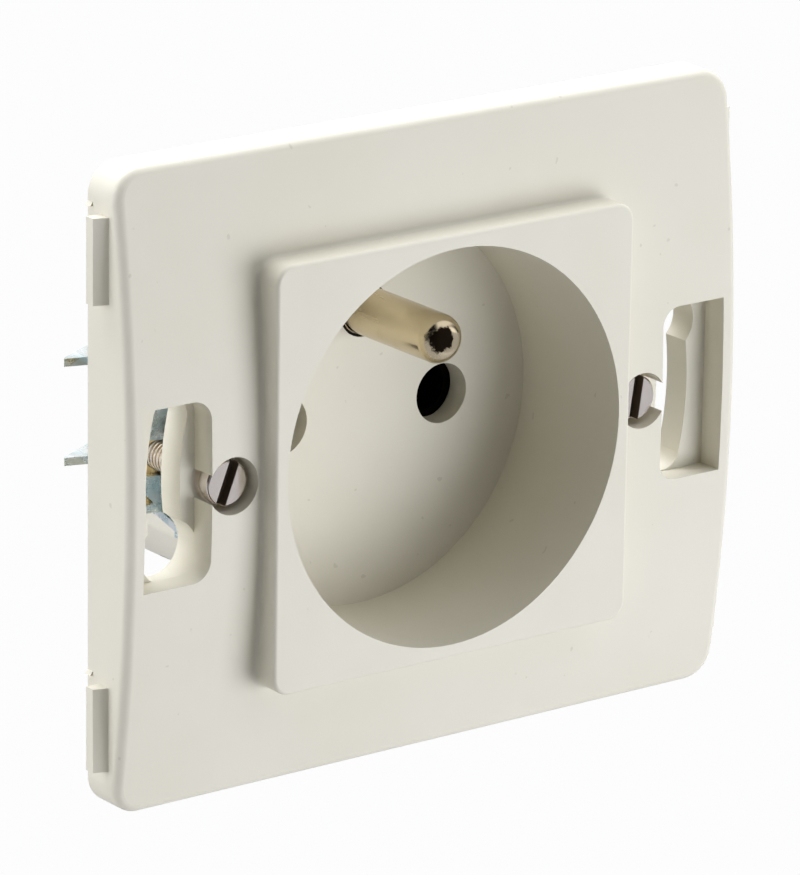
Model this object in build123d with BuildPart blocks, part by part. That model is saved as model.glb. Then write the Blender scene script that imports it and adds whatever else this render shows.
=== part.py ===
import os
from math import cos, radians, sin, tan

from build123d import *

# Wall socket mechanism with a round plug well, a raised earth pin and two box claws.
# Millimetres. Origin: centre of the plate's back face, on the wall. X right, Z up,
# the front faces -Y and the mechanism stands behind the wall plane, towards +Y.
# Plane.XZ looks out of the wall, so its offsets and extrusions count forwards.

os.makedirs("parts", exist_ok=True)

# Face plate: an arched slab, thickest at mid-height
plate_w = 71.4
plate_h = 62.0
plate_edge = 4.2
plate_crown = 2.6
plate_corner_r = 3.0
plate_round = 0.9
skin = 2.0
rim_wall = 1.8
back_recess = 0.8
rib_t = 1.2
rib_x = 10.4
sink = 0.2

# Raised square block round the plug well
block_w = 41.6
block_front = 8.9
block_corner_r = 1.8
block_round = 0.35
cove_r = 0.4

# Plug well and its tube behind the plate
well_r = 19.5
well_depth = 15.0
tube_wall = 1.3
ear_neck = 4.5

# Window pockets with a keyhole each for the two box screws
window_in = 26.5
window_out = 34.0
window_h = 17.5
window_corner_r = 2.0
window_floor = 3.85
window_pad = 1.6
box_screw_r = 30.0
keyhole_slot_w = 3.8
keyhole_head_r = 3.15
keyhole_head_angle = 12.0
keyhole_slot_angle = 13.0

# Side lugs that hold the surround frame
lug_out = 1.4
lug_back = 1.8
lug_front = 3.4
lug_nose = 2.9
lug_from_end = 4.4
lug_h = 8.2
nib_out = 0.3
nib_gap = 0.5
nib_h = 0.7
nib_front = 0.8

# Contacts and earth pin, on the plug's own pitch
contact_pitch = 19.0
contact_hole_r = 3.0
earth_height = 10.0
earth_pin_r = 2.4
earth_pin_reach = 13.4
earth_dome = 1.6
earth_dome_bulge = 0.3
earth_tip_r = 0.9
earth_seat_out = 0.3
earth_seat_sink = 0.1
earth_tail_r = 2.2
collar_out = 1.2
collar_t = 1.5
rivet_r = 1.5
rivet_head_r = 2.1
rivet_head_h = 0.8
rivet_bevel = 0.3

# Claw screws
claw_screw_x = 24.1
claw_hole_r = 2.78
claw_head_r = 2.25
claw_head_h = 2.2
claw_head_sink = 1.0
claw_head_edge = 0.2
claw_shank_r = 1.5
claw_screw_end = 13.3
claw_tip_edge = 0.4
claw_slot_w = 1.15
claw_slot_depth = 1.1
claw_slot_angles = {"left": 21.5, "right": 8.5}
claw_boss_wall = 1.5

# Claws: folded steel sheet on a pair of rivets. Their outline is measured from the
# hinge, outwards and backwards, in the claw's half-open frame.
sheet = 0.8
claw_span = 10.7
claw_swing = 30.0
claw_hinge_x = 21.9
claw_hinge_y = 6.45
claw_rivet_r = 0.8
claw_rivet_head = 0.4
claw_knuckle_r = 1.5
claw_web_out = 4.9
claw_web_in = 0.3
claw_web_cut = 2.3
claw_web_side = 1.0
claw_waist = 3.8
claw_waist_back = 10.5
claw_tooth_root = 3.6
claw_tooth_front = 13.4
claw_tooth_tip = 6.05
claw_tooth_rake = 0.1
claw_tooth_flat = 0.5
claw_tooth_bevel = 0.25
claw_crest = 2.2
claw_crest_back = 17.4
claw_heel = 1.0
claw_heel_back = 16.3
claw_inner = -0.6
claw_inner_back = 3.2
claw_slit_back = 7.9
claw_cut_past = 3.0

# Barrel nuts that carry the claws on the screws
nut_r = 2.0
nut_stub_r = 1.0
nut_shoulder = 0.9
nut_web_gap = 0.1

# Bracket that carries each claw's rivets
bracket_t = 0.8
bracket_out = 26.0
bracket_in = 21.2
bracket_reach = 8.2
bracket_ear_foot_out = 25.6
bracket_ear_foot_in = 20.6
bracket_ear_out = 1.7
bracket_ear_in = 1.5
claw_side_gap = 0.3

# Carrier disc, housing and rear cover
carrier_t = 2.5
housing_len = 17.0
cover_t = 2.0
housing_flat = 17.4
housing_corner_r = 1.0
seat_depth = 9.8
cover_edge = 0.5

# Sleeves, straps and terminal blocks
sleeve_wall = 0.8
sleeve_len = 8.6
sleeve_slit = 1.0
strap_t = 0.8
strap_w = 5.0
strap_corner_r = 1.0
clip_t = 0.5
clip_w = 3.0
clip_inset = 1.6
clip_gap = 2.2
block_x = 7.0
block_z = 6.4
terminal_corner_r = 0.4
pole_block_low = 14.0
earth_block_high = 18.5
wire_r = 1.5
wire_depth = 5.6
wire_offset = 1.1
wire_entry_r = 2.2

# Fasteners
terminal_shank_r = 1.5
terminal_head_r = 2.4
terminal_head_h = 1.6
terminal_lift = 0.9
driver_slot_w = 0.8
driver_slot_depth = 0.8
slot_over = 1.0
hole_past = 0.4
self_tap_r = 1.2
self_tap_head_r = 2.5
self_tap_head_h = 1.8
self_tap_bite = 7.0
ear_z = 24.0
ear_r = 3.2
cover_screw_x = 11.0
cover_screw_z = 10.5
cover_screw_r = 1.1
cover_screw_head_r = 2.1
cover_screw_head_h = 1.2
cover_screw_len = 9.0

# Clearances
run_fit = 0.05
thread_fit = 0.05
slide_gap = 0.25
fit_gap = 0.2
stub_play = 0.15
pin_room = 0.35

# Levels along the depth, counted backwards from the wall plane
floor_y = well_depth - block_front
tube_r = well_r + tube_wall
carrier_back = floor_y + carrier_t
housing_back = carrier_back + housing_len
cover_back = housing_back + cover_t
strap_front = carrier_back + seat_depth - strap_t
strap_back = carrier_back + seat_depth
contact_x = contact_pitch / 2
lug_high = plate_h / 2 - lug_from_end
lug_low = lug_high - lug_h
earth_seat_r = earth_pin_r + earth_seat_out
surface_mid = plate_edge + plate_crown
head_top = surface_mid - claw_head_sink
head_seat = head_top - claw_head_h
sides = {"left": -1, "right": 1}


def back_plane(y):
    return Plane.XZ.offset(-y)


def is_along_y(edge):
    return abs((edge % 0.5).Y) > 0.7


def on_block_side(edge):
    middle = edge @ 0.5
    near = max(abs(middle.X), abs(middle.Z))
    return block_w / 2 - block_corner_r < near < block_w / 2 + 0.01


# Face plate, one moulding: arched slab, raised block and the wall of the plug well
with BuildPart() as faceplate:
    with BuildSketch(Plane.YZ.offset(-plate_w / 2)):
        with BuildLine():
            half_h = plate_h / 2
            Polyline((-plate_edge, -half_h), (0, -half_h), (0, half_h), (-plate_edge, half_h))
            ThreePointArc((-plate_edge, half_h), (-surface_mid, 0), (-plate_edge, -half_h))
        make_face()
    extrude(amount=plate_w)
    fillet(faceplate.edges().filter_by(Axis.Y), plate_corner_r)
    front_face = faceplate.faces().filter_by(GeomType.CYLINDER).sort_by(SortBy.AREA)[-1]
    fillet(front_face.edges(), plate_round)

    # Hollow back, following the arch one skin below it
    hollow_w = plate_w - 2 * rim_wall
    hollow_h = plate_h - 2 * rim_wall
    with BuildSketch(Plane.YZ.offset(-hollow_w / 2)):
        with BuildLine():
            hollow_edge = plate_edge - skin
            hollow_mid = surface_mid - skin
            half_h = hollow_h / 2
            Polyline((-hollow_edge, -half_h), (0, -half_h), (0, half_h), (-hollow_edge, half_h))
            ThreePointArc((-hollow_edge, half_h), (-hollow_mid, 0), (-hollow_edge, -half_h))
        make_face()
    extrude(amount=hollow_w, mode=Mode.SUBTRACT)
    inner_corners = faceplate.edges().filter_by(
        lambda e: is_along_y(e) and abs(abs((e @ 0.5).X) - hollow_w / 2) < 0.01 and abs((e @ 0.5).Y) > 0.1
    )
    fillet(inner_corners, plate_corner_r - rim_wall)

    # Raised block with a coved root and softened front edges
    with BuildSketch(Plane.XZ):
        RectangleRounded(block_w, block_w, block_corner_r)
    extrude(amount=block_front)
    root = faceplate.edges().filter_by(
        lambda e: on_block_side(e) and not is_along_y(e) and plate_edge < -(e @ 0.5).Y < block_front - 0.1
    )
    fillet(root, cove_r)
    block_face = faceplate.faces().sort_by(Axis.Y)[0]
    fillet(block_face.edges(), block_round)

    # Ribs from the block to the rim, up to the underside of the arch
    rib_in = block_w / 2 - sink
    rib_out = plate_h / 2 - rim_wall / 2
    rib_drop = plate_crown * (rib_in / (hollow_h / 2)) ** 2
    rib_tall = hollow_mid - rib_drop + sink
    for across in sides.values():
        with BuildSketch(Plane.YZ.offset(across * rib_x - rib_t / 2)):
            with BuildLine():
                for side in sides.values():
                    Polyline(
                        (0, side * rib_in),
                        (-rib_tall, side * rib_in),
                        (-hollow_edge - sink, side * rib_out),
                        (0, side * rib_out),
                        close=True,
                    )
            make_face()
        extrude(amount=rib_t)

    # Pads behind the windows and bosses for the claw screws
    pad_top = hollow_mid + sink
    pad_in = window_in - window_pad
    pad_out = plate_w / 2 - rim_wall / 2
    with BuildSketch(Plane.XZ):
        for side in sides.values():
            with Locations((side * (pad_in + pad_out) / 2, 0)):
                Rectangle(pad_out - pad_in, window_h + 2 * window_pad)
            with Locations((side * claw_screw_x, 0)):
                Circle(claw_hole_r + claw_boss_wall)
    extrude(amount=pad_top)

    # Corners of the block are cored out round the tube
    with BuildSketch(Plane.XZ):
        Rectangle(block_w - 2 * rim_wall, block_w - 2 * rim_wall)
        Circle(tube_r, mode=Mode.SUBTRACT)
    extrude(amount=block_front - skin, mode=Mode.SUBTRACT)

    # Only the rim meets the wall: what stands inside it stops short
    with BuildSketch(Plane.XZ):
        RectangleRounded(hollow_w, hollow_h, plate_corner_r - rim_wall)
    extrude(amount=back_recess, mode=Mode.SUBTRACT)

    # Tube of the well and the two bosses that take the housing screws
    boss_drop = plate_crown * ((ear_z - ear_r) / (hollow_h / 2)) ** 2
    boss_top = hollow_mid - boss_drop + sink
    with BuildSketch(back_plane(floor_y)):
        Circle(tube_r)
        with Locations((0, ear_z), (0, -ear_z)):
            Circle(ear_r)
        Rectangle(ear_neck, 2 * ear_z)
    extrude(amount=floor_y + boss_top)
    with BuildSketch(back_plane(floor_y)):
        Circle(well_r)
    extrude(amount=well_depth, mode=Mode.SUBTRACT)
    with BuildSketch(back_plane(floor_y)):
        with Locations((0, ear_z), (0, -ear_z)):
            Circle(self_tap_r + thread_fit)
    extrude(amount=self_tap_bite + hole_past, mode=Mode.SUBTRACT)

    # Window pockets, then a keyhole through each floor, alike under a half turn
    with BuildSketch(Plane.XZ.offset(window_floor)):
        for side in sides.values():
            with Locations((side * (window_in + window_out) / 2, 0)):
                Rectangle(window_out - window_in, window_h)
        inner = vertices().filter_by(lambda v: abs(abs(v.X) - window_in) < 0.01)
        fillet(inner, window_corner_r)
    extrude(amount=block_front, mode=Mode.SUBTRACT)
    with BuildSketch(Plane.XZ):
        for turn in (0, 180):
            with PolarLocations(box_screw_r, 1, start_angle=turn + keyhole_head_angle):
                Circle(keyhole_head_r)
            with BuildLine(mode=Mode.PRIVATE):
                slot_path = CenterArc(
                    (0, 0), box_screw_r, turn - keyhole_slot_angle, keyhole_slot_angle + keyhole_head_angle
                )
            SlotArc(slot_path, keyhole_slot_w)
    extrude(amount=window_floor, mode=Mode.SUBTRACT)

    # Stepped holes for the claw screws, which open into the windows
    with BuildSketch(Plane.XZ.offset(head_seat)):
        with Locations((claw_screw_x, 0), (-claw_screw_x, 0)):
            Circle(claw_hole_r)
    extrude(amount=block_front, mode=Mode.SUBTRACT)
    with BuildSketch(Plane.XZ):
        with Locations((claw_screw_x, 0), (-claw_screw_x, 0)):
            Circle(claw_shank_r + slide_gap)
    extrude(amount=head_seat, mode=Mode.SUBTRACT)

    # Lugs on both sides, sloping out from the plate, each with a small nib above it
    for bottom in (lug_low, -lug_high):
        with BuildSketch(Plane.XY.offset(bottom)):
            for side in sides.values():
                with BuildLine():
                    lug_root = side * (plate_w / 2 - rim_wall)
                    lug_tip = side * (plate_w / 2 + lug_out)
                    Polyline(
                        (lug_root, -lug_back),
                        (lug_tip, -lug_back),
                        (lug_tip, -lug_nose),
                        (side * plate_w / 2, -lug_front),
                        (lug_root, -lug_front),
                        close=True,
                    )
                make_face()
        extrude(amount=lug_h)
    with BuildSketch(Plane.XZ):
        for side in sides.values():
            for lug_top in (lug_high, -lug_low):
                with BuildLine():
                    nib_x = side * (plate_w / 2 - sink)
                    nib_tip = side * (plate_w / 2 + nib_out)
                    nib_z = lug_top + nib_gap
                    Polyline((nib_x, nib_z), (nib_tip, nib_z), (nib_x, nib_z + nib_h), close=True)
                make_face()
    extrude(amount=nib_front)

faceplate.part.label = "faceplate"
export_step(faceplate.part, "parts/faceplate.step")


# Carrier disc: the floor of the well, with two ears under the housing screws
with BuildPart() as contact_carrier:
    with BuildSketch(back_plane(carrier_back)):
        Circle(tube_r)
        with Locations((0, ear_z), (0, -ear_z)):
            Circle(ear_r)
        Rectangle(ear_neck, 2 * ear_z)
        with Locations((contact_x, 0), (-contact_x, 0)):
            Circle(contact_hole_r, mode=Mode.SUBTRACT)
        with Locations((0, earth_height)):
            Circle(earth_seat_r + run_fit, mode=Mode.SUBTRACT)
        with Locations((0, ear_z), (0, -ear_z)):
            Circle(self_tap_r + slide_gap, mode=Mode.SUBTRACT)
    extrude(amount=carrier_t)

contact_carrier.part.label = "contact_carrier"
export_step(contact_carrier.part, "parts/contact_carrier.step")


# Housing: chambers from the front for the contacts, pockets from the back for the blocks
sleeve_r = earth_pin_r + run_fit
chamber = 2 * (sleeve_r + sleeve_wall + clip_t + fit_gap)
strap_slot = strap_w + 2 * fit_gap
pole_block_z = -(pole_block_low - block_z / 2)
earth_block_z = earth_block_high - block_z / 2
pole_strap_low = pole_block_low + fit_gap
earth_strap_high = earth_block_high
collar_r = earth_pin_r + collar_out
earth_strap_low = earth_height - collar_r
screw_y = strap_back + block_x / 2

with BuildPart() as rear_housing:
    with BuildSketch(back_plane(housing_back)):
        Circle(tube_r)
        Rectangle(2 * housing_flat, 2 * tube_r, mode=Mode.INTERSECT)
    extrude(amount=housing_len)
    fillet(rear_housing.edges().filter_by(Axis.Y), housing_corner_r)
    with BuildSketch(back_plane(carrier_back + carrier_t)):
        with Locations((0, ear_z), (0, -ear_z)):
            Circle(ear_r)
        Rectangle(ear_neck, 2 * ear_z)
    extrude(amount=carrier_t)
    with BuildSketch(back_plane(carrier_back + carrier_t)):
        with Locations((0, ear_z), (0, -ear_z)):
            Circle(self_tap_r + slide_gap)
    extrude(amount=carrier_t, mode=Mode.SUBTRACT)
    with BuildSketch(back_plane(strap_back)):
        for side in sides.values():
            with Locations((side * contact_x, 0)):
                Rectangle(chamber, chamber)
            with Locations((side * contact_x, -pole_strap_low / 2)):
                Rectangle(strap_slot, pole_strap_low + fit_gap)
        with Locations((0, earth_height)):
            Circle(collar_r + fit_gap)
        with Locations((0, (earth_strap_low + earth_strap_high) / 2)):
            Rectangle(strap_slot, earth_strap_high - earth_strap_low + 2 * fit_gap)
    extrude(amount=seat_depth, mode=Mode.SUBTRACT)
    with BuildSketch(back_plane(housing_back)):
        with Locations((contact_x, pole_block_z), (-contact_x, pole_block_z), (0, earth_block_z)):
            Rectangle(block_x + 2 * fit_gap, block_z + 2 * fit_gap)
    extrude(amount=housing_back - strap_back, mode=Mode.SUBTRACT)

    # Room for the ends of the plug's pins behind the contacts
    with BuildSketch(back_plane(housing_back)):
        with Locations((contact_x, 0), (-contact_x, 0)):
            Circle(sleeve_r + pin_room)
    extrude(amount=housing_back - strap_back, mode=Mode.SUBTRACT)
    with BuildSketch(back_plane(strap_back + rivet_head_h + fit_gap)):
        with Locations((0, earth_height)):
            Circle(rivet_head_r + fit_gap)
    extrude(amount=rivet_head_h + fit_gap, mode=Mode.SUBTRACT)
    with BuildSketch(Plane.XY.offset(-tube_r)):
        with Locations((contact_x, screw_y), (-contact_x, screw_y)):
            Circle(terminal_head_r + fit_gap)
    extrude(amount=tube_r - pole_block_low, mode=Mode.SUBTRACT)
    with BuildSketch(Plane.XY.offset(earth_block_high)):
        with Locations((0, screw_y)):
            Circle(terminal_head_r + fit_gap)
    extrude(amount=tube_r - earth_block_high, mode=Mode.SUBTRACT)
    with BuildSketch(back_plane(housing_back)):
        with Locations((cover_screw_x, cover_screw_z), (-cover_screw_x, cover_screw_z)):
            Circle(cover_screw_r + thread_fit)
    extrude(amount=cover_screw_len - cover_t + hole_past, mode=Mode.SUBTRACT)

rear_housing.part.label = "rear_housing"
export_step(rear_housing.part, "parts/rear_housing.step")


# Rear cover with the three wire entries
with BuildPart() as rear_cover:
    with BuildSketch(back_plane(cover_back)):
        Circle(tube_r)
        Rectangle(2 * housing_flat, 2 * tube_r, mode=Mode.INTERSECT)
    extrude(amount=cover_t)
    fillet(rear_cover.edges().filter_by(Axis.Y), housing_corner_r)
    with BuildSketch(back_plane(cover_back)):
        with Locations((contact_x, pole_block_z + wire_offset), (-contact_x, pole_block_z + wire_offset)):
            Circle(wire_entry_r)
        with Locations((0, earth_block_z - wire_offset)):
            Circle(wire_entry_r)
        with Locations((cover_screw_x, cover_screw_z), (-cover_screw_x, cover_screw_z)):
            Circle(cover_screw_r + slide_gap)
    extrude(amount=cover_t, mode=Mode.SUBTRACT)
    chamfer(rear_cover.faces().sort_by(Axis.Y)[-1].outer_wire().edges(), cover_edge)

rear_cover.part.label = "rear_cover"
export_step(rear_cover.part, "parts/rear_cover.step")


# Earth pin: turned brass with a domed tip, a collar behind the carrier and a riveted tail
pin_axis = Axis((0, 0, earth_height), (0, 1, 0))
tip_y = floor_y - earth_pin_reach
with BuildPart() as earth_pin:
    with BuildSketch(Plane.YZ):
        with BuildLine():
            Line((tip_y, earth_height), (tip_y, earth_height + earth_tip_r))
            ThreePointArc(
                (tip_y, earth_height + earth_tip_r),
                (
                    tip_y + earth_dome / 2 - earth_dome_bulge,
                    earth_height + (earth_pin_r + earth_tip_r) / 2 + earth_dome_bulge,
                ),
                (tip_y + earth_dome, earth_height + earth_pin_r),
            )
            Polyline(
                (tip_y + earth_dome, earth_height + earth_pin_r),
                (floor_y + earth_seat_sink, earth_height + earth_pin_r),
                (floor_y + earth_seat_sink, earth_height + earth_seat_r),
                (carrier_back, earth_height + earth_seat_r),
                (carrier_back, earth_height + collar_r),
                (carrier_back + collar_t, earth_height + collar_r),
                (carrier_back + collar_t, earth_height + earth_tail_r),
                (strap_front, earth_height + earth_tail_r),
                (strap_front, earth_height + rivet_r),
                (strap_back, earth_height + rivet_r),
                (strap_back, earth_height + rivet_head_r),
                (strap_back + rivet_head_h, earth_height + rivet_head_r - rivet_bevel),
                (strap_back + rivet_head_h, earth_height),
                (tip_y, earth_height),
            )
        make_face()
    revolve(axis=pin_axis)

earth_pin.part.label = "earth_pin"
export_step(earth_pin.part, "parts/earth_pin.step")


# Earth strap between the pin's tail and its terminal block
with BuildPart() as earth_strap:
    with BuildSketch(back_plane(strap_back)):
        with Locations((0, (earth_strap_low + earth_strap_high) / 2)):
            Rectangle(strap_w, earth_strap_high - earth_strap_low)
        fillet(vertices(), strap_corner_r)
        with Locations((0, earth_height)):
            Circle(rivet_r + run_fit, mode=Mode.SUBTRACT)
    extrude(amount=strap_t)

earth_strap.part.label = "earth_strap"
export_step(earth_strap.part, "parts/earth_strap.step")


# Live and neutral contacts: a slit sleeve for the plug pin on a strap to its block
for name, side in sides.items():
    with BuildPart() as contact:
        with BuildSketch(back_plane(strap_front)):
            with Locations((side * contact_x, 0)):
                Circle(sleeve_r + sleeve_wall)
                Circle(sleeve_r, mode=Mode.SUBTRACT)
            with Locations((side * (contact_x - sleeve_r - sleeve_wall / 2), 0)):
                Rectangle(2 * sleeve_wall, sleeve_slit, mode=Mode.SUBTRACT)
        extrude(amount=sleeve_len)
        with BuildSketch(back_plane(strap_back)):
            with Locations((side * contact_x, 0)):
                Circle(sleeve_r + sleeve_wall)
            with Locations((side * contact_x, -pole_block_low / 2)):
                Rectangle(strap_w, pole_block_low)
            with Locations((side * contact_x, 0)):
                Circle(sleeve_r, mode=Mode.SUBTRACT)
        extrude(amount=strap_t)
    contact.part.label = "contact_" + name
    export_step(contact.part, "parts/contact_" + name + ".step")

    # Steel clip that closes the sleeve on the pin
    clip_in = sleeve_r + sleeve_wall
    clip_back = strap_front - sleeve_len + clip_inset + clip_w
    with BuildPart() as clip:
        with BuildSketch(back_plane(clip_back)):
            with Locations((side * contact_x, 0)):
                Circle(clip_in + clip_t)
                Circle(clip_in, mode=Mode.SUBTRACT)
            with Locations((side * (contact_x - clip_in), 0)):
                Rectangle(3 * clip_t, clip_gap, mode=Mode.SUBTRACT)
        extrude(amount=clip_w)
    clip.part.label = "contact_clip_" + name
    export_step(clip.part, "parts/contact_clip_" + name + ".step")


# Terminal blocks with a wire bore from the back and a clamp screw from the rim
terminals = {
    "left": (-contact_x, pole_block_z, -1),
    "right": (contact_x, pole_block_z, -1),
    "earth": (0.0, earth_block_z, 1),
}
for name, (x, z, outward) in terminals.items():
    wire_z = z - outward * wire_offset
    block_face_z = z + outward * block_z / 2
    with BuildPart() as terminal:
        with BuildSketch(back_plane(housing_back)):
            with Locations((x, z)):
                RectangleRounded(block_x, block_z, terminal_corner_r)
        extrude(amount=housing_back - strap_back)
        with BuildSketch(back_plane(housing_back)):
            with Locations((x, wire_z)):
                Circle(wire_r)
        extrude(amount=wire_depth, mode=Mode.SUBTRACT)
        with BuildSketch(Plane.XY.offset(wire_z)):
            with Locations((x, screw_y)):
                Circle(terminal_shank_r + thread_fit)
        extrude(amount=outward * block_z, mode=Mode.SUBTRACT)
    terminal.part.label = "terminal_" + name
    export_step(terminal.part, "parts/terminal_" + name + ".step")

    head_under = block_face_z + outward * terminal_lift
    shank_len = abs(head_under - wire_z) - wire_r
    with BuildPart() as clamp_screw:
        with BuildSketch(Plane.XY.offset(head_under)):
            with Locations((x, screw_y)):
                Circle(terminal_shank_r)
        extrude(amount=-outward * shank_len)
        with BuildSketch(Plane.XY.offset(head_under)):
            with Locations((x, screw_y)):
                Circle(terminal_head_r)
        extrude(amount=outward * terminal_head_h)
        with BuildSketch(Plane.XY.offset(head_under + outward * terminal_head_h)):
            with Locations((x, screw_y)):
                Rectangle(2 * terminal_head_r + slot_over, driver_slot_w)
        extrude(amount=-outward * driver_slot_depth, mode=Mode.SUBTRACT)
    clamp_screw.part.label = "terminal_screw_" + name
    export_step(clamp_screw.part, "parts/terminal_screw_" + name + ".step")


# Claws: front web with a slotted hole, two toothed flanges and an inner web.
# Each claw is drawn in its half-open frame and laid back by half its swing.
rest_tilt = radians(claw_swing / 2)
flange_in = claw_span / 2 - sheet
nut_len = 2 * (flange_in - nut_shoulder)
screw_arm = claw_screw_x - claw_hinge_x
nut_u = screw_arm / cos(rest_tilt)
nut_y = claw_hinge_y + screw_arm * tan(rest_tilt)
web_back = nut_r + nut_web_gap
web_front = web_back + sheet
web_mid = (web_back + web_front) / 2
knuckle_45 = claw_knuckle_r * cos(radians(45))
web_reach = web_mid + sheet / 2
web_slot = 2 * (web_reach * tan(rest_tilt) + claw_shank_r / cos(rest_tilt) + slide_gap)

for name, side in sides.items():
    claw_frame = Plane(
        origin=(side * claw_hinge_x, claw_hinge_y, 0),
        x_dir=(side * cos(rest_tilt), sin(rest_tilt), 0),
        z_dir=(0, 0, side),
    )
    with BuildPart() as claw:
        with BuildSketch(claw_frame.offset(-claw_span / 2)):
            with BuildLine():
                Polyline(
                    (claw_web_in, -web_front),
                    (claw_web_out, -web_front),
                    (claw_web_out, claw_web_side),
                    (claw_waist, claw_waist_back),
                    (claw_tooth_root, claw_tooth_front),
                    (claw_tooth_tip, claw_tooth_front + claw_tooth_rake),
                    (claw_tooth_tip - claw_tooth_bevel, claw_tooth_front + claw_tooth_rake + claw_tooth_flat),
                    (claw_crest, claw_crest_back),
                    (claw_heel, claw_heel_back),
                    (claw_inner, claw_inner_back),
                    (-knuckle_45, knuckle_45),
                )
                ThreePointArc((-knuckle_45, knuckle_45), (-claw_knuckle_r, 0), (-knuckle_45, -knuckle_45))
                Line((-knuckle_45, -knuckle_45), (claw_web_in, -web_front))
            make_face()
            Circle(claw_rivet_r + run_fit, mode=Mode.SUBTRACT)
            with Locations((nut_u, 0)):
                Circle(nut_stub_r + stub_play, mode=Mode.SUBTRACT)
        extrude(amount=claw_span)
        with BuildSketch(claw_frame.offset(-flange_in)):
            with BuildLine():
                Polyline(
                    (claw_web_in - claw_cut_past, -web_back),
                    (claw_web_out + claw_cut_past, -web_back),
                    (claw_web_out + claw_cut_past, claw_heel_back + claw_cut_past),
                    (claw_heel + sheet, claw_heel_back + claw_cut_past),
                    (claw_heel + sheet, claw_heel_back),
                    (claw_inner + sheet, claw_inner_back),
                    (claw_web_in - claw_cut_past, claw_inner_back),
                    close=True,
                )
            make_face()
        extrude(amount=2 * flange_in, mode=Mode.SUBTRACT)

        # Slit in the inner web, which lets the screw's shank through as the claw opens
        with BuildSketch(claw_frame.offset(-(claw_shank_r + slide_gap))):
            slit_front = claw_inner_back - sheet
            with Locations(((claw_inner + claw_heel + sheet) / 2, (slit_front + claw_slit_back) / 2)):
                Rectangle(2 * claw_cut_past, claw_slit_back - slit_front)
        extrude(amount=2 * (claw_shank_r + slide_gap), mode=Mode.SUBTRACT)
        web_plane = Plane(
            origin=claw_frame.from_local_coords(Vector(0, -web_front, 0)),
            x_dir=claw_frame.x_dir,
            z_dir=-claw_frame.y_dir,
        )
        with BuildSketch(web_plane):
            with Locations((nut_u, 0)):
                SlotOverall(web_slot, 2 * (claw_shank_r + slide_gap))
            with BuildLine():
                Polyline(
                    (claw_web_out, flange_in),
                    (claw_web_out, flange_in - claw_web_cut),
                    (claw_web_out - claw_web_cut, flange_in),
                    close=True,
                )
            make_face()
        extrude(amount=-sheet, mode=Mode.SUBTRACT)
    claw.part.label = "claw_" + name
    export_step(claw.part, "parts/claw_" + name + ".step")

    # Barrel nut across the claw, journalled in its flanges and threaded on the screw
    nut_axis_plane = Plane(origin=(side * claw_screw_x, nut_y, 0), x_dir=(1, 0, 0), z_dir=(0, 0, 1))
    with BuildPart() as nut:
        with BuildSketch(nut_axis_plane.offset(-nut_len / 2)):
            Circle(nut_r)
        extrude(amount=nut_len)
        with BuildSketch(nut_axis_plane.offset(-claw_span / 2)):
            Circle(nut_stub_r)
        extrude(amount=claw_span)
        with BuildSketch(back_plane(nut_y + nut_r)):
            with Locations((side * claw_screw_x, 0)):
                Circle(claw_shank_r + thread_fit)
        extrude(amount=2 * nut_r, mode=Mode.SUBTRACT)
    nut.part.label = "claw_nut_" + name
    export_step(nut.part, "parts/claw_nut_" + name + ".step")

    # Claw screw: cylinder head with a driver slot, in the stepped hole of the plate
    with BuildPart() as claw_screw:
        with BuildSketch(Plane.XZ.offset(head_seat)):
            with Locations((side * claw_screw_x, 0)):
                Circle(claw_head_r)
        extrude(amount=claw_head_h)
        chamfer(claw_screw.faces().sort_by(Axis.Y)[0].edges(), claw_head_edge)
        with BuildSketch(back_plane(claw_screw_end)):
            with Locations((side * claw_screw_x, 0)):
                Circle(claw_shank_r)
        extrude(amount=claw_screw_end + head_seat)
        chamfer(claw_screw.faces().sort_by(Axis.Y)[-1].edges(), claw_tip_edge)
        with BuildSketch(Plane.XZ.offset(head_top)):
            with Locations(Location((side * claw_screw_x, 0), -claw_slot_angles[name])):
                Rectangle(claw_slot_w, 2 * claw_head_r + slot_over)
        extrude(amount=-claw_slot_depth, mode=Mode.SUBTRACT)
    claw_screw.part.label = "claw_screw_" + name
    export_step(claw_screw.part, "parts/claw_screw_" + name + ".step")

    # Bracket behind the plate that carries the rivets
    ear_in = claw_span / 2 + claw_side_gap
    bracket_span = 2 * (ear_in + bracket_t)
    with BuildPart() as bracket:
        with BuildSketch(back_plane(bracket_t - back_recess)):
            with Locations((side * (bracket_in + bracket_out) / 2, 0)):
                Rectangle(bracket_out - bracket_in, bracket_span)
            with Locations((side * claw_screw_x, 0)):
                Circle(claw_shank_r + slide_gap, mode=Mode.SUBTRACT)
        extrude(amount=bracket_t)
        for ear in sides.values():
            with BuildSketch(Plane.XY.offset(ear * (ear_in + bracket_t / 2) - bracket_t / 2)):
                with BuildLine():
                    ear_left = (side * (claw_hinge_x - bracket_ear_in), claw_hinge_y)
                    ear_right = (side * (claw_hinge_x + bracket_ear_out), claw_hinge_y)
                    foot_out = (side * bracket_ear_foot_out, -back_recess)
                    Polyline(foot_out, (side * bracket_ear_foot_in, -back_recess), ear_left)
                    ThreePointArc(ear_left, (side * claw_hinge_x, bracket_reach), ear_right)
                    Line(ear_right, foot_out)
                make_face()
                with Locations((side * claw_hinge_x, claw_hinge_y)):
                    Circle(claw_rivet_r + run_fit, mode=Mode.SUBTRACT)
            extrude(amount=bracket_t)
    bracket.part.label = "claw_bracket_" + name
    export_step(bracket.part, "parts/claw_bracket_" + name + ".step")

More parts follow.
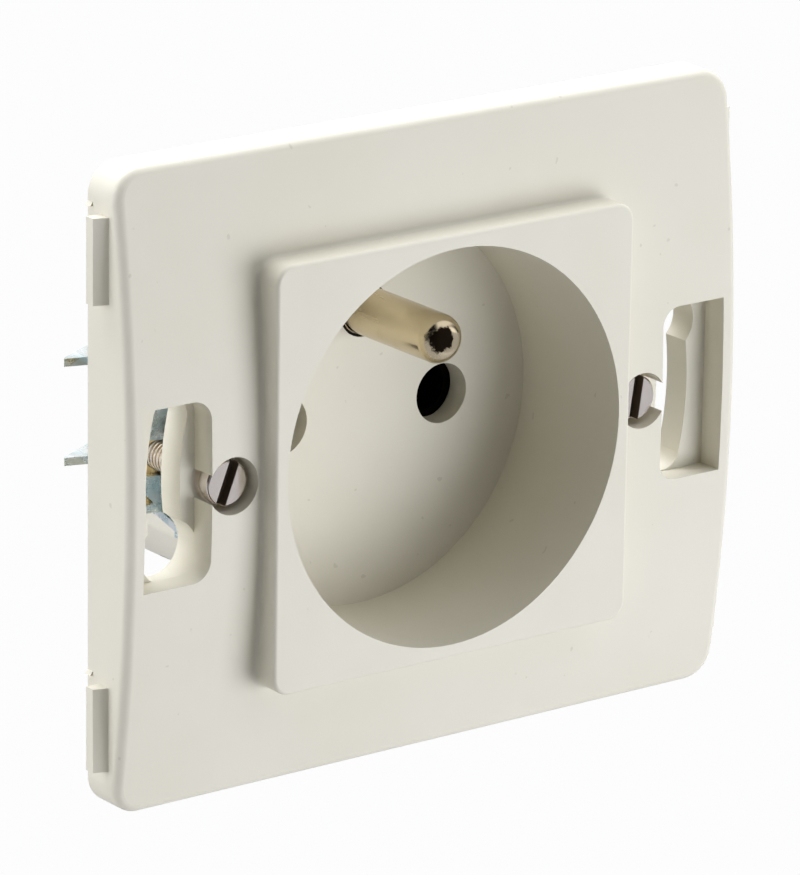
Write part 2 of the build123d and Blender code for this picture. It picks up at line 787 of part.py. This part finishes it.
    # Pair of rivets on the hinge line, one through each ear and flange
    with BuildPart() as hinge_rivets:
        for ear in sides.values():
            with BuildSketch(Plane.XY.offset(ear * bracket_span / 2)):
                with Locations((side * claw_hinge_x, claw_hinge_y)):
                    Circle(claw_rivet_r)
            extrude(amount=-ear * (bracket_span / 2 - flange_in + fit_gap))
            with BuildSketch(Plane.XY.offset(ear * bracket_span / 2)):
                with Locations((side * claw_hinge_x, claw_hinge_y)):
                    Circle(claw_rivet_r + claw_rivet_head)
            extrude(amount=ear * claw_rivet_head)
    hinge_rivets.part.label = "claw_rivets_" + name
    export_step(hinge_rivets.part, "parts/claw_rivets_" + name + ".step")


# Two long screws from the housing's ears into the bosses of the plate
ear_back = carrier_back + carrier_t
with BuildPart() as housing_screws:
    with BuildSketch(back_plane(ear_back)):
        with Locations((0, ear_z), (0, -ear_z)):
            Circle(self_tap_r)
    extrude(amount=ear_back - floor_y + self_tap_bite)
    with BuildSketch(back_plane(ear_back)):
        with Locations((0, ear_z), (0, -ear_z)):
            Circle(self_tap_head_r)
    extrude(amount=-self_tap_head_h)
    with BuildSketch(back_plane(ear_back + self_tap_head_h)):
        with Locations((0, ear_z), (0, -ear_z)):
            Rectangle(2 * self_tap_head_r + slot_over, driver_slot_w)
    extrude(amount=driver_slot_depth, mode=Mode.SUBTRACT)

housing_screws.part.label = "housing_screws"
export_step(housing_screws.part, "parts/housing_screws.step")


# Two short screws that hold the rear cover
with BuildPart() as cover_screws:
    with BuildSketch(back_plane(cover_back)):
        with Locations((cover_screw_x, cover_screw_z), (-cover_screw_x, cover_screw_z)):
            Circle(cover_screw_r)
    extrude(amount=cover_screw_len)
    with BuildSketch(back_plane(cover_back)):
        with Locations((cover_screw_x, cover_screw_z), (-cover_screw_x, cover_screw_z)):
            Circle(cover_screw_head_r)
    extrude(amount=-cover_screw_head_h)
    with BuildSketch(back_plane(cover_back + cover_screw_head_h)):
        with Locations((cover_screw_x, cover_screw_z), (-cover_screw_x, cover_screw_z)):
            Rectangle(2 * cover_screw_head_r + slot_over, driver_slot_w)
    extrude(amount=driver_slot_depth, mode=Mode.SUBTRACT)

cover_screws.part.label = "cover_screws"
export_step(cover_screws.part, "parts/cover_screws.step")
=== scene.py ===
import bpy, bmesh, math
from mathutils import Matrix, Vector

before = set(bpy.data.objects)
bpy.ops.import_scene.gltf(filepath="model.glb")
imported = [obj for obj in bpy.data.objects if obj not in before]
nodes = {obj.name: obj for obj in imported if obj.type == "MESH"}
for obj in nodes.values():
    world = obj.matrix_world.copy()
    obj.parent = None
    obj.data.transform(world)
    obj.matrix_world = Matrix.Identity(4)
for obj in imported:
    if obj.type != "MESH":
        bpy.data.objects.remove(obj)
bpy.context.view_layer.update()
print("frame loaded:", len(nodes), "nodes")

# camera, at the photograph's place
shot = {
    "azimuth": -36.854,
    "elevation": 17.329,
    "roll": 0.872,
    "distance": 0.60817,
    "target": (0.000022, 0.0, -0.00126),
    "lens": 263.22,
}


def addCamera():
    az = math.radians(shot["azimuth"])
    el = math.radians(shot["elevation"])
    roll = math.radians(shot["roll"])
    back = Vector((math.sin(az) * math.cos(el), -math.cos(az) * math.cos(el), math.sin(el)))
    right = Vector((math.cos(az), math.sin(az), 0))
    up = back.cross(right)
    turnedRight = right * math.cos(roll) + up * math.sin(roll)
    turnedUp = up * math.cos(roll) - right * math.sin(roll)
    place = Vector(shot["target"]) + back * shot["distance"]
    data = bpy.data.cameras.new("camera")
    data.lens = shot["lens"]
    data.clip_start = 0.02
    data.clip_end = 20
    cam = bpy.data.objects.new("camera", data)
    cam.matrix_world = Matrix((
        (turnedRight.x, turnedUp.x, back.x, place.x),
        (turnedRight.y, turnedUp.y, back.y, place.y),
        (turnedRight.z, turnedUp.z, back.z, place.z),
        (0, 0, 0, 1),
    ))
    bpy.context.scene.collection.objects.link(cam)
    bpy.context.scene.camera = cam


addCamera()
bpy.context.scene.view_settings.view_transform = "Standard"
print("camera set")

# stage: pale floor, soft key lamp from the front right, fill from above, two cards and a weak surround behind
stage = {
    "floorZ": -0.30,
    "floorSize": 8.0,
    "floorColor": (0.26, 0.26, 0.26, 1),
    "floorShown": 0.96,  # how far the camera sees it as white
    "keyFrom": (0.531, -0.817, -0.225),
    "keyDistance": 0.55,
    "keySize": (0.46, 0.35),
    "keyWatts": 2.60,
    "keyColor": (0.895, 0.92, 1.0),
    "keyCard": 1.3,  # how bright the lamp looks in the metal
    "keyCardEdge": (0.72, 0.88),  # cosine from the card's middle, outside and inside
    "rearCards": ((-0.92, 0.38, 0.0), (0.05, 0.42, 0.90)),  # white cards that light the rim from behind
    "rearCardLevel": 7.2,
    "rearCardEdge": (0.86, 0.96),
    "surround": 0.18,
    "surroundColor": (0.93, 0.945, 1.0),
    "surroundFrom": (0.10, 0.55),
    "topFill": 1.55,
    "topFillRise": (0.05, 0.85),
    "topFillFrom": (-0.30, 0.25),  # along X, so that the left sides stay dark
    "roomLevel": 0.006,
    "backdropLevel": 0.95,  # white that metal sees behind the object
    "backdropFrom": (-0.05, 0.35),
}


def mathNode(tree, operation, first, second):
    node = tree.nodes.new("ShaderNodeMath")
    node.operation = operation
    for socket, value in zip(node.inputs, (first, second)):
        if isinstance(value, (int, float)):
            socket.default_value = value
        else:
            tree.links.new(value, socket)
    return node.outputs[0]


def ramp(tree, value, low, high, toLow=0.0, toHigh=1.0):
    node = tree.nodes.new("ShaderNodeMapRange")
    node.interpolation_type = "SMOOTHSTEP"
    tree.links.new(value, node.inputs["Value"])
    node.inputs["From Min"].default_value = low
    node.inputs["From Max"].default_value = high
    node.inputs["To Min"].default_value = toLow
    node.inputs["To Max"].default_value = toHigh
    return node.outputs["Result"]


def toward(tree, coords, direction):
    node = tree.nodes.new("ShaderNodeVectorMath")
    node.operation = "DOT_PRODUCT"
    tree.links.new(coords.outputs["Generated"], node.inputs[0])
    node.inputs[1].default_value = Vector(direction).normalized()
    return node.outputs["Value"]


def addWorld():
    world = bpy.data.worlds.new("studio")
    bpy.context.scene.world = world
    world.use_nodes = True
    tree = world.node_tree
    tree.nodes.clear()
    coords = tree.nodes.new("ShaderNodeTexCoord")
    split = tree.nodes.new("ShaderNodeSeparateXYZ")
    tree.links.new(coords.outputs["Generated"], split.inputs[0])
    behind = ramp(tree, split.outputs["Y"], *stage["surroundFrom"], 0.0, stage["surround"])
    for direction in stage["rearCards"]:
        facing = toward(tree, coords, direction)
        card = ramp(tree, facing, *stage["rearCardEdge"], 0.0, stage["rearCardLevel"])
        behind = mathNode(tree, "ADD", behind, card)
    above = ramp(tree, split.outputs["Z"], *stage["topFillRise"], 0.0, stage["topFill"])
    above = mathNode(tree, "MULTIPLY", above, ramp(tree, split.outputs["X"], *stage["topFillFrom"]))
    level = mathNode(tree, "ADD", mathNode(tree, "ADD", behind, above), stage["roomLevel"])
    paths = tree.nodes.new("ShaderNodeLightPath")
    seenInGloss = mathNode(
        tree, "MAXIMUM", paths.outputs["Is Glossy Ray"], paths.outputs["Is Transmission Ray"])
    lit = tree.nodes.new("ShaderNodeBackground")
    tree.links.new(level, lit.inputs["Strength"])
    glossy = tree.nodes.new("ShaderNodeBackground")
    facing = toward(tree, coords, stage["keyFrom"])
    card = ramp(tree, facing, *stage["keyCardEdge"], 0.0, stage["keyCard"])
    backdrop = ramp(tree, split.outputs["Y"], *stage["backdropFrom"], 0.0, stage["backdropLevel"])
    white = mathNode(tree, "MAXIMUM", card, backdrop)
    seen = mathNode(tree, "MAXIMUM", mathNode(tree, "MINIMUM", level, 1.0), white)
    tree.links.new(seen, glossy.inputs["Strength"])
    plain = tree.nodes.new("ShaderNodeBackground")
    plain.inputs["Strength"].default_value = 1.0
    for node, color in ((lit, stage["surroundColor"]), (glossy, (1, 1, 1)), (plain, (1, 1, 1))):
        node.inputs["Color"].default_value = (*color, 1)
    first = tree.nodes.new("ShaderNodeMixShader")
    tree.links.new(seenInGloss, first.inputs[0])
    tree.links.new(lit.outputs[0], first.inputs[1])
    tree.links.new(glossy.outputs[0], first.inputs[2])
    second = tree.nodes.new("ShaderNodeMixShader")
    tree.links.new(paths.outputs["Is Camera Ray"], second.inputs[0])
    tree.links.new(first.outputs[0], second.inputs[1])
    tree.links.new(plain.outputs[0], second.inputs[2])
    out = tree.nodes.new("ShaderNodeOutputWorld")
    tree.links.new(second.outputs[0], out.inputs["Surface"])


def addFloor():
    bm = bmesh.new()
    bmesh.ops.create_grid(bm, x_segments=1, y_segments=1, size=stage["floorSize"] / 2)
    bmesh.ops.translate(bm, verts=bm.verts, vec=(0, 0, stage["floorZ"]))
    mesh = bpy.data.meshes.new("floor")
    bm.to_mesh(mesh)
    bm.free()
    floor = bpy.data.objects.new("floor", mesh)
    bpy.context.scene.collection.objects.link(floor)
    mat = bpy.data.materials.new("floorPaint")
    mat.use_nodes = True
    tree = mat.node_tree
    paint = tree.nodes["Principled BSDF"]
    paint.inputs["Base Color"].default_value = stage["floorColor"]
    paint.inputs["Roughness"].default_value = 0.9
    glow = tree.nodes.new("ShaderNodeEmission")
    glow.inputs["Color"].default_value = (1, 1, 1, 1)
    paths = tree.nodes.new("ShaderNodeLightPath")
    seen = mathNode(tree, "MAXIMUM", paths.outputs["Is Camera Ray"], paths.outputs["Is Transmission Ray"])
    seen = mathNode(tree, "MULTIPLY", seen, stage["floorShown"])
    mix = tree.nodes.new("ShaderNodeMixShader")
    tree.links.new(seen, mix.inputs[0])
    tree.links.new(paint.outputs[0], mix.inputs[1])
    tree.links.new(glow.outputs[0], mix.inputs[2])
    tree.links.new(mix.outputs[0], tree.nodes["Material Output"].inputs["Surface"])
    mesh.materials.append(mat)


def addKey():
    data = bpy.data.lights.new("keyLamp", "AREA")
    data.shape = "RECTANGLE"
    data.size, data.size_y = stage["keySize"]
    data.energy = stage["keyWatts"]
    data.color = stage["keyColor"]
    lamp = bpy.data.objects.new("keyLamp", data)
    away = Vector(stage["keyFrom"]).normalized()
    lamp.location = away * stage["keyDistance"]
    lamp.rotation_mode = "QUATERNION"
    lamp.rotation_quaternion = away.to_track_quat("Z", "Y")
    lamp.visible_glossy = False
    bpy.context.scene.collection.objects.link(lamp)


addWorld()
addFloor()
addKey()
print("stage and lamps set")


# materials, all on Object coordinates in metres
def newMaterial(name, color, metallic, roughness):
    mat = bpy.data.materials.new(name)
    mat.use_nodes = True
    shader = mat.node_tree.nodes["Principled BSDF"]
    shader.inputs["Base Color"].default_value = (*color, 1)
    shader.inputs["Metallic"].default_value = metallic
    shader.inputs["Roughness"].default_value = roughness
    return mat, mat.node_tree, shader


def place(tree, stretch=(1, 1, 1)):
    coords = tree.nodes.new("ShaderNodeTexCoord")
    mapping = tree.nodes.new("ShaderNodeMapping")
    mapping.inputs["Scale"].default_value = stretch
    tree.links.new(coords.outputs["Object"], mapping.inputs["Vector"])
    return mapping.outputs["Vector"]


def noise(tree, where, perMetre, detail=3.0, rough=0.5):
    node = tree.nodes.new("ShaderNodeTexNoise")
    node.inputs["Scale"].default_value = perMetre
    node.inputs["Detail"].default_value = detail
    node.inputs["Roughness"].default_value = rough
    tree.links.new(where, node.inputs["Vector"])
    return node.outputs["Fac"]


def blendColor(tree, factor, first, second):
    node = tree.nodes.new("ShaderNodeMix")
    node.data_type = "RGBA"
    tree.links.new(factor, node.inputs["Factor"])
    for socket, value in ((node.inputs[6], first), (node.inputs[7], second)):
        if isinstance(value, tuple):
            socket.default_value = (*value, 1)
        else:
            tree.links.new(value, socket)
    return node.outputs[2]


def bump(tree, height, strength, distance, after=None):
    node = tree.nodes.new("ShaderNodeBump")
    node.inputs["Strength"].default_value = strength
    node.inputs["Distance"].default_value = distance
    tree.links.new(height, node.inputs["Height"])
    if after is not None:
        tree.links.new(after, node.inputs["Normal"])
    return node.outputs["Normal"]


def fromAxis(tree, x, z):
    # distance from a line along Y at x, z, and the depth along it, in metres
    coords = tree.nodes.new("ShaderNodeTexCoord")
    mapping = tree.nodes.new("ShaderNodeMapping")
    mapping.inputs["Location"].default_value = (-x, 0, -z)
    tree.links.new(coords.outputs["Object"], mapping.inputs["Vector"])
    split = tree.nodes.new("ShaderNodeSeparateXYZ")
    tree.links.new(mapping.outputs["Vector"], split.inputs[0])
    flat = tree.nodes.new("ShaderNodeCombineXYZ")
    tree.links.new(split.outputs["X"], flat.inputs["X"])
    tree.links.new(split.outputs["Z"], flat.inputs["Z"])
    length = tree.nodes.new("ShaderNodeVectorMath")
    length.operation = "LENGTH"
    tree.links.new(flat.outputs[0], length.inputs[0])
    return length.outputs["Value"], split.outputs["Y"]


def darken(tree, shader, mask, color, roughness, metallic=None):
    # paints a darker place over what the shader has: painted shade in the screw slots and contact bores, a
    # painted reflection on the pin tip, and a darker ring at the pin's foot
    for name, value in (("Base Color", color), ("Roughness", roughness), ("Metallic", metallic)):
        if value is None:
            continue
        socket = shader.inputs[name]
        old = socket.links[0].from_socket if socket.links else None
        if name == "Base Color":
            tree.links.new(blendColor(tree, mask, old, value), socket)
        else:
            mix = tree.nodes.new("ShaderNodeMix")
            tree.links.new(mask, mix.inputs["Factor"])
            mix.inputs[3].default_value = value
            if old is None:
                mix.inputs[2].default_value = socket.default_value
            else:
                tree.links.new(old, mix.inputs[2])
            tree.links.new(mix.outputs[0], socket)


speckLook = {
    "color": (0.42, 0.38, 0.31),
    "perMetre": 900,
    "edge": (0.775, 0.81),  # noise level where a speck starts and is full
    "strength": 0.30,
}

mouldedLook = {
    "color": (0.750, 0.716, 0.600),
    "deeper": (0.730, 0.694, 0.574),
    "roughness": (0.42, 0.56),
    "grainPerMetre": 5200,
    "grainDepth": 0.000012,
    "waviness": 0.000035,
}


def mouldedPlastic(name, look, speckled=True):
    mat, tree, shader = newMaterial(name, look["color"], 0.0, 0.5)
    where = place(tree)
    cloud = noise(tree, where, 55, 3, 0.55)
    grain = noise(tree, where, look["grainPerMetre"], 2, 0.6)
    color = blendColor(tree, ramp(tree, cloud, 0.35, 0.7), look["color"], look["deeper"])
    if speckled:
        dots = noise(tree, where, speckLook["perMetre"], 1, 0.4)
        specks = ramp(tree, dots, *speckLook["edge"], 0.0, speckLook["strength"])
        color = blendColor(tree, specks, color, speckLook["color"])
    tree.links.new(color, shader.inputs["Base Color"])
    tree.links.new(ramp(tree, grain, 0.3, 0.7, *look["roughness"]), shader.inputs["Roughness"])
    shader.inputs["IOR"].default_value = 1.5
    wave = bump(tree, cloud, 0.35, look["waviness"])
    tree.links.new(bump(tree, grain, 0.6, look["grainDepth"], wave), shader.inputs["Normal"])
    return mat


backLook = {
    "color": (0.735, 0.700, 0.600),
    "deeper": (0.700, 0.665, 0.560),
    "roughness": (0.5, 0.66),
    "grainPerMetre": 3800,
    "grainDepth": 0.00002,
    "waviness": 0.00006,
}

nickelLook = {
    "color": (0.66, 0.56, 0.39),
    "tarnish": (0.46, 0.36, 0.23),
    "roughness": (0.14, 0.30),
}

nickelPattern = {
    "drawnPerMetre": 900,
    "bloomPerMetre": 240,
    "bloomEdge": (0.52, 0.78),
    "bloomStrength": 0.55,
    "bumpStrength": 0.25,
    "bumpDepth": 0.00001,
}


def platedNickel(name, look, along=(1, 1, 1)):
    mat, tree, shader = newMaterial(name, look["color"], 1.0, 0.2)
    where = place(tree, along)
    drawn = noise(tree, where, nickelPattern["drawnPerMetre"], 4, 0.6)
    bloom = noise(tree, place(tree), nickelPattern["bloomPerMetre"], 3, 0.6)
    dull = ramp(tree, bloom, *nickelPattern["bloomEdge"], 0.0, nickelPattern["bloomStrength"])
    color = blendColor(tree, dull, look["color"], look["tarnish"])
    tree.links.new(color, shader.inputs["Base Color"])
    tree.links.new(ramp(tree, drawn, 0.3, 0.75, *look["roughness"]), shader.inputs["Roughness"])
    relief = bump(tree, drawn, nickelPattern["bumpStrength"], nickelPattern["bumpDepth"])
    tree.links.new(relief, shader.inputs["Normal"])
    return mat


zincLook = {
    "color": (0.80, 0.85, 0.85),
    "tint": (0.60, 0.72, 0.74),
    "roughness": (0.16, 0.38),
}

zincScrewLook = {
    "color": (0.70, 0.74, 0.74),
    "tint": (0.62, 0.69, 0.72),
    "roughness": (0.2, 0.42),
}

springLook = {
    "color": (0.52, 0.53, 0.55),
    "tint": (0.46, 0.46, 0.47),
    "roughness": (0.22, 0.4),
}

zincPattern = {
    "patchPerMetre": 420,
    "patchEdge": (0.4, 0.66),
    "streakPerMetre": 1100,
    "bumpStrength": 0.3,
    "bumpDepth": 0.000012,
}


def platedZinc(name, look, along=(1, 1, 1)):
    mat, tree, shader = newMaterial(name, look["color"], 1.0, 0.3)
    patches = noise(tree, place(tree), zincPattern["patchPerMetre"], 3, 0.55)
    streaks = noise(tree, place(tree, along), zincPattern["streakPerMetre"], 3, 0.6)
    tinted = ramp(tree, patches, *zincPattern["patchEdge"])
    color = blendColor(tree, tinted, look["color"], look["tint"])
    tree.links.new(color, shader.inputs["Base Color"])
    tree.links.new(ramp(tree, streaks, 0.3, 0.72, *look["roughness"]), shader.inputs["Roughness"])
    relief = bump(tree, streaks, zincPattern["bumpStrength"], zincPattern["bumpDepth"])
    tree.links.new(relief, shader.inputs["Normal"])
    return mat


brassLook = {
    "color": (0.80, 0.60, 0.30),
    "tarnish": (0.58, 0.38, 0.16),
    "roughness": (0.2, 0.4),
}

# earth pin: a painted reflection, a near-black spot on its tip, and a darker ring where it meets the floor of
# the well
pinMarks = {
    "axis": (0.0, 0.010),  # x and z
    "drawnAlong": (1, 0.08, 1),
    "tip": -0.0073,
    "tipEdge": (0.0009, 0.0012),
    "tipReflection": (-0.00062, 0.01030),
    "tipReflectionSize": 0.00142,
    "tipReflectionEdge": (0.0006, 0.00085),
    "tipReflectionColor": (0.016, 0.010, 0.006),
    "tipReflectionRoughness": 0.55,
    "ragged": 0.0018,
    "raggedPerMetre": 1000,
    "seat": 0.00243,
    "seatEdge": 0.00004,
    "seatColor": (0.03, 0.027, 0.022),
    "seatRoughness": 0.6,
}


def pinWithPaintedReflection():
    mat = platedNickel("nickelPin", nickelLook, pinMarks["drawnAlong"])
    tree = mat.node_tree
    shader = tree.nodes["Principled BSDF"]
    rough = noise(tree, place(tree), pinMarks["raggedPerMetre"], 5, 0.66)
    ragged = mathNode(tree, "MULTIPLY", rough, pinMarks["ragged"])
    # painted reflection: a near-black ragged spot left of the tip's middle stands for the dim surroundings
    # mirrored in the tip
    away, depth = fromAxis(tree, *pinMarks["tipReflection"])
    spotEdge = [pinMarks["tipReflectionSize"] + more for more in pinMarks["tipReflectionEdge"]]
    spot = ramp(tree, mathNode(tree, "ADD", away, ragged), *spotEdge, 1.0, 0.0)
    tipEdge = [pinMarks["tip"] + more for more in pinMarks["tipEdge"]]
    nearTip = ramp(tree, depth, *tipEdge, 1.0, 0.0)
    tipReflection = mathNode(tree, "MULTIPLY", spot, nearTip)
    darken(tree, shader, tipReflection, pinMarks["tipReflectionColor"], pinMarks["tipReflectionRoughness"])
    radius = fromAxis(tree, *pinMarks["axis"])[0]
    seat = ramp(tree, radius, pinMarks["seat"], pinMarks["seat"] + pinMarks["seatEdge"])
    darken(tree, shader, seat, pinMarks["seatColor"], pinMarks["seatRoughness"])
    return mat


# claw screws: painted shade in the driver slot of the head, thread behind it
screwLook = {
    "color": (0.97, 0.885, 0.825),
    "tarnish": (0.83, 0.71, 0.61),
    "roughness": (0.14, 0.26),
}

screwHead = {
    "x": 0.0241,
    "face": -0.0058,
    "radius": 0.00219,
    "slotFloor": -0.0046,
    "slotShadeColor": (0.085, 0.060, 0.038),
    "slotShadeRoughness": 0.65,
    "under": -0.0035,  # depth where the thread starts
    "pitch": 0.0005,
    "threadDepth": 0.00008,
    "edge": 0.0001,  # width of a soft edge
    "inset": 0.00002,
}


def slottedScrew(name, x):
    mat = platedNickel(name, screwLook)
    tree = mat.node_tree
    radius, depth = fromAxis(tree, x, 0.0)
    edge, inset = screwHead["edge"], screwHead["inset"]
    inside = ramp(tree, radius, screwHead["radius"] - inset, screwHead["radius"], 1.0, 0.0)
    below = ramp(tree, depth, screwHead["face"] + inset, screwHead["face"] + edge)
    above = ramp(tree, depth, screwHead["slotFloor"], screwHead["slotFloor"] + edge, 1.0, 0.0)
    slot = mathNode(tree, "MULTIPLY", mathNode(tree, "MULTIPLY", inside, below), above)
    shader = tree.nodes["Principled BSDF"]
    # painted shade: the slot's walls and floor are painted near black and unmetallic, for the shade that
    # falls in it
    darken(tree, shader, slot, screwHead["slotShadeColor"], screwHead["slotShadeRoughness"], 0.0)
    angle = mathNode(tree, "MULTIPLY", depth, 2 * math.pi / screwHead["pitch"])
    turns = mathNode(tree, "SINE", angle, 0.0)
    shank = ramp(tree, depth, screwHead["under"], screwHead["under"] + edge)
    thread = bump(tree, mathNode(tree, "MULTIPLY", turns, shank), 1.0, screwHead["threadDepth"])
    plating = shader.inputs["Normal"].links[0].from_node
    tree.links.new(thread, plating.inputs["Normal"])
    return mat


# contacts: brass, with painted shade inside the sleeve and at its mouth
contactBore = {
    "x": 0.0095,
    "radius": 0.0026,
    "mouth": 0.0034,
    "mouthBack": 0.0098,
    "mouthFade": 0.0006,
    "edge": 0.0001,
    "color": (0.010, 0.008, 0.006),
    "roughness": 0.7,
}


def springContact(name, x):
    mat = platedNickel(name, brassLook)
    tree = mat.node_tree
    radius, depth = fromAxis(tree, x, 0.0)
    edge, back = contactBore["edge"], contactBore["mouthBack"]
    # painted shade: the bore and the front of the wider mouth are painted near black, for the shade inside
    # the sleeve
    bore = ramp(tree, radius, contactBore["radius"], contactBore["radius"] + edge, 1.0, 0.0)
    wide = ramp(tree, radius, contactBore["mouth"], contactBore["mouth"] + edge, 1.0, 0.0)
    front = ramp(tree, depth, back - contactBore["mouthFade"], back, 1.0, 0.0)
    dark = mathNode(tree, "MAXIMUM", bore, mathNode(tree, "MULTIPLY", wide, front))
    shader = tree.nodes["Principled BSDF"]
    darken(tree, shader, dark, contactBore["color"], contactBore["roughness"])
    return mat


whiteMoulding = mouldedPlastic("mouldedWhite", mouldedLook)
backMoulding = mouldedPlastic("mouldedBack", backLook, speckled=False)
nickelPin = pinWithPaintedReflection()
zincSheet = platedZinc("zincSheet", zincLook, (1, 0.12, 1))  # streaks run front to back
zincScrew = platedZinc("zincScrew", zincScrewLook)
springSteel = platedZinc("springSteel", springLook)
stampedBrass = platedNickel("stampedBrass", brassLook)

# which finish each CAD node gets
dressing = {
    "faceplate": whiteMoulding, "contact_carrier": whiteMoulding,
    "rear_housing": backMoulding, "rear_cover": backMoulding,
    "earth_pin": nickelPin, "earth_strap": stampedBrass,
    "housing_screws": zincScrew, "cover_screws": zincScrew,
    "terminal_earth": stampedBrass, "terminal_screw_earth": zincScrew,
}
for side, sign in (("left", -1), ("right", 1)):
    dressing.update({
        "contact_" + side: springContact("contactBrass_" + side, sign * contactBore["x"]),
        "contact_clip_" + side: springSteel,
        "terminal_" + side: stampedBrass, "terminal_screw_" + side: zincScrew,
        "claw_" + side: zincSheet, "claw_bracket_" + side: zincSheet,
        "claw_rivets_" + side: zincScrew,
        "claw_nut_" + side: stampedBrass,
        "claw_screw_" + side: slottedScrew("nickelScrew_" + side, sign * screwHead["x"]),
    })
for name, mat in dressing.items():
    nodes[name].data.materials.clear()
    nodes[name].data.materials.append(mat)
print("materials on", len(dressing), "nodes")
